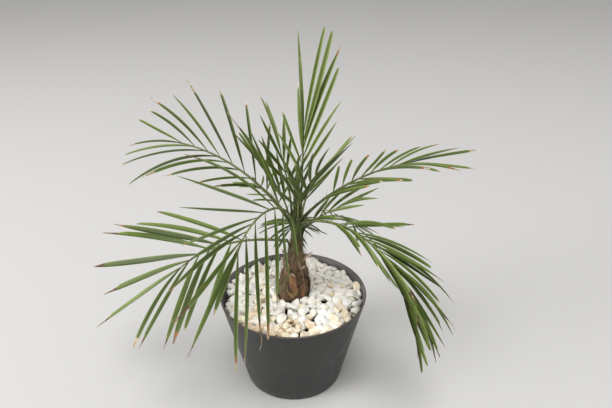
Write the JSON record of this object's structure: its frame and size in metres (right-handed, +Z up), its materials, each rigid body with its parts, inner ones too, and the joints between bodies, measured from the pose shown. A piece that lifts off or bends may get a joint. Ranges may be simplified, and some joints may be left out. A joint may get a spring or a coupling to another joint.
{
  "type": "potted phoenix palm bonsai",
  "caption": "Young phoenix palm with a swollen brown foot and arching feather fronds, in a plain tapered dark pot topped with white marble chips.",
  "frame": {"origin": "centre of the pot's flat underside", "axes": "+Z up along the pot's axis; -Y is the side that faces the viewer, +X is to the viewer's right"},
  "size_m": [0.4856, 0.3055, 0.4322],
  "materials": {
    "pot_plastic": "matte dark grey moulded plastic with a faint brown rim",
    "potting_soil": "dark moist potting mix",
    "marble": "tumbled white marble chips, some cream and pale orange",
    "palm_trunk": "dark brown fibrous leaf bases with dry stubs",
    "palm_leaf": "satin green leaflets, paler along their edges, with some dry straw and orange tips"
  },
  "bodies": {
    "root": {"pot": "pot_plastic", "soil": "potting_soil", "marble_chips": "marble", "trunk": "palm_trunk", "frond_upright": "palm_leaf", "frond_back_left": "palm_leaf", "frond_front_inner": "palm_leaf", "frond_front_outer": "palm_leaf", "frond_left": "palm_leaf", "frond_right": "palm_leaf", "frond_front_right_inner": "palm_leaf", "frond_front_right_outer": "palm_leaf", "frond_rising_right": "palm_leaf", "frond_low_right": "palm_leaf", "frond_rising_left": "palm_leaf", "frond_inner_left": "palm_leaf", "frond_inner_front": "palm_leaf", "frond_back": "palm_leaf", "frond_behind_left": "palm_leaf", "frond_behind_right": "palm_leaf"}
  },
  "joints": []
}
